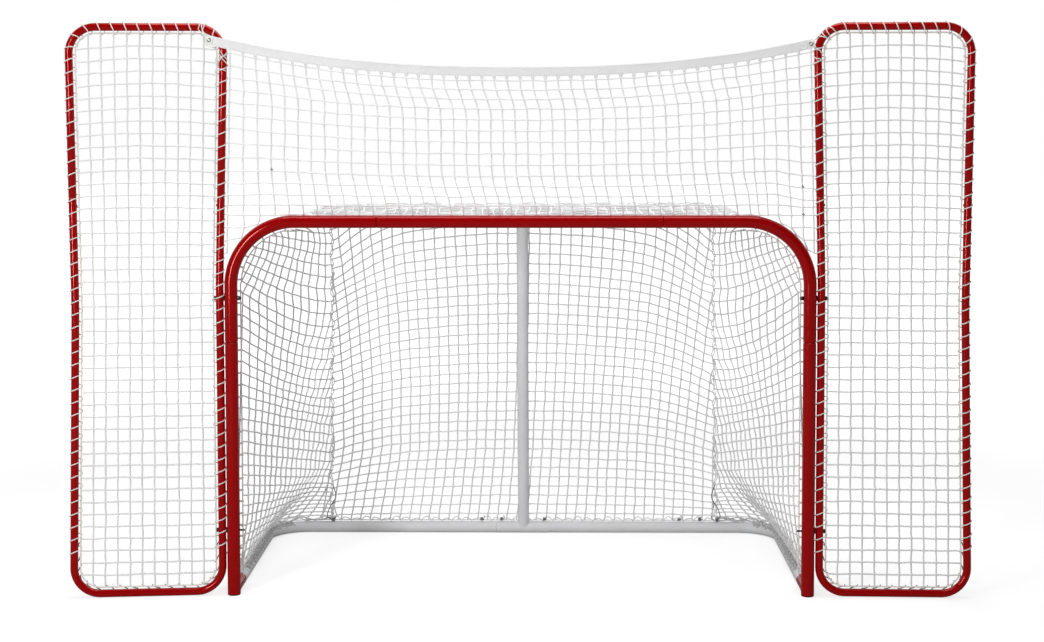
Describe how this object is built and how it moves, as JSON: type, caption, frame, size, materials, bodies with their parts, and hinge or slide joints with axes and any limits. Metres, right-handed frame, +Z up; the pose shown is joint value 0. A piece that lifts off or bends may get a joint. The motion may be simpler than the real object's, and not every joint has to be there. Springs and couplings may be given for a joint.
{
  "type": "hockey goal with backstop",
  "caption": "Tubular steel hockey goal with leaning rear post, tall side frames and a backstop net above the crossbar, stretched under a strap.",
  "frame": {"origin": "on the floor, in the middle of the whole object's box", "axes": "+X to the right of a person looking into the mouth, +Y from the mouth towards the back net, +Z up"},
  "size_m": [2.9212, 0.9394, 1.86],
  "materials": {
    "red_powder_coat": "glossy red powder coat",
    "light_grey_powder_coat": "satin light grey powder coat",
    "dark_steel": "blackened steel, satin",
    "zinc": "zinc plated, satin",
    "foot_cap_plastic": "dark moulded plastic",
    "spacer_nylon": "black nylon",
    "net_twine": "white knotted twine",
    "webbing": "white woven webbing"
  },
  "bodies": {
    "root": {"centre_post": "light_grey_powder_coat", "crossbar": "red_powder_coat", "goal_back_net": "net_twine", "goal_left_net": "net_twine", "goal_right_net": "net_twine", "goal_top_net": "net_twine", "left_base_tube": "light_grey_powder_coat", "left_cap_nut": "dark_steel", "left_corner_tube": "red_powder_coat", "left_crossbar_screw": "red_powder_coat", "left_foot_cap": "foot_cap_plastic", "left_inner_frame_screw": "dark_steel", "left_lower_post": "red_powder_coat", "left_lower_spacer": "spacer_nylon", "left_outer_frame_screw": "dark_steel", "left_panel_net": "net_twine", "left_shelf_tube": "light_grey_powder_coat", "left_side_bolt": "dark_steel", "left_side_frame_lower": "red_powder_coat", "left_side_frame_upper": "red_powder_coat", "left_side_pin": "dark_steel", "left_strap_eyelet": "zinc", "left_upper_spacer": "spacer_nylon", "right_base_tube": "light_grey_powder_coat", "right_cap_nut": "dark_steel", "right_corner_tube": "red_powder_coat", "right_crossbar_screw": "red_powder_coat", "right_foot_cap": "foot_cap_plastic", "right_inner_frame_screw": "dark_steel", "right_lower_post": "red_powder_coat", "right_lower_spacer": "spacer_nylon", "right_outer_frame_screw": "dark_steel", "right_panel_net": "net_twine", "right_shelf_tube": "light_grey_powder_coat", "right_side_bolt": "dark_steel", "right_side_frame_lower": "red_powder_coat", "right_side_frame_upper": "red_powder_coat", "right_side_pin": "dark_steel", "right_strap_eyelet": "zinc", "right_upper_spacer": "spacer_nylon", "span_net": "net_twine", "top_strap": "webbing"}
  },
  "joints": []
}
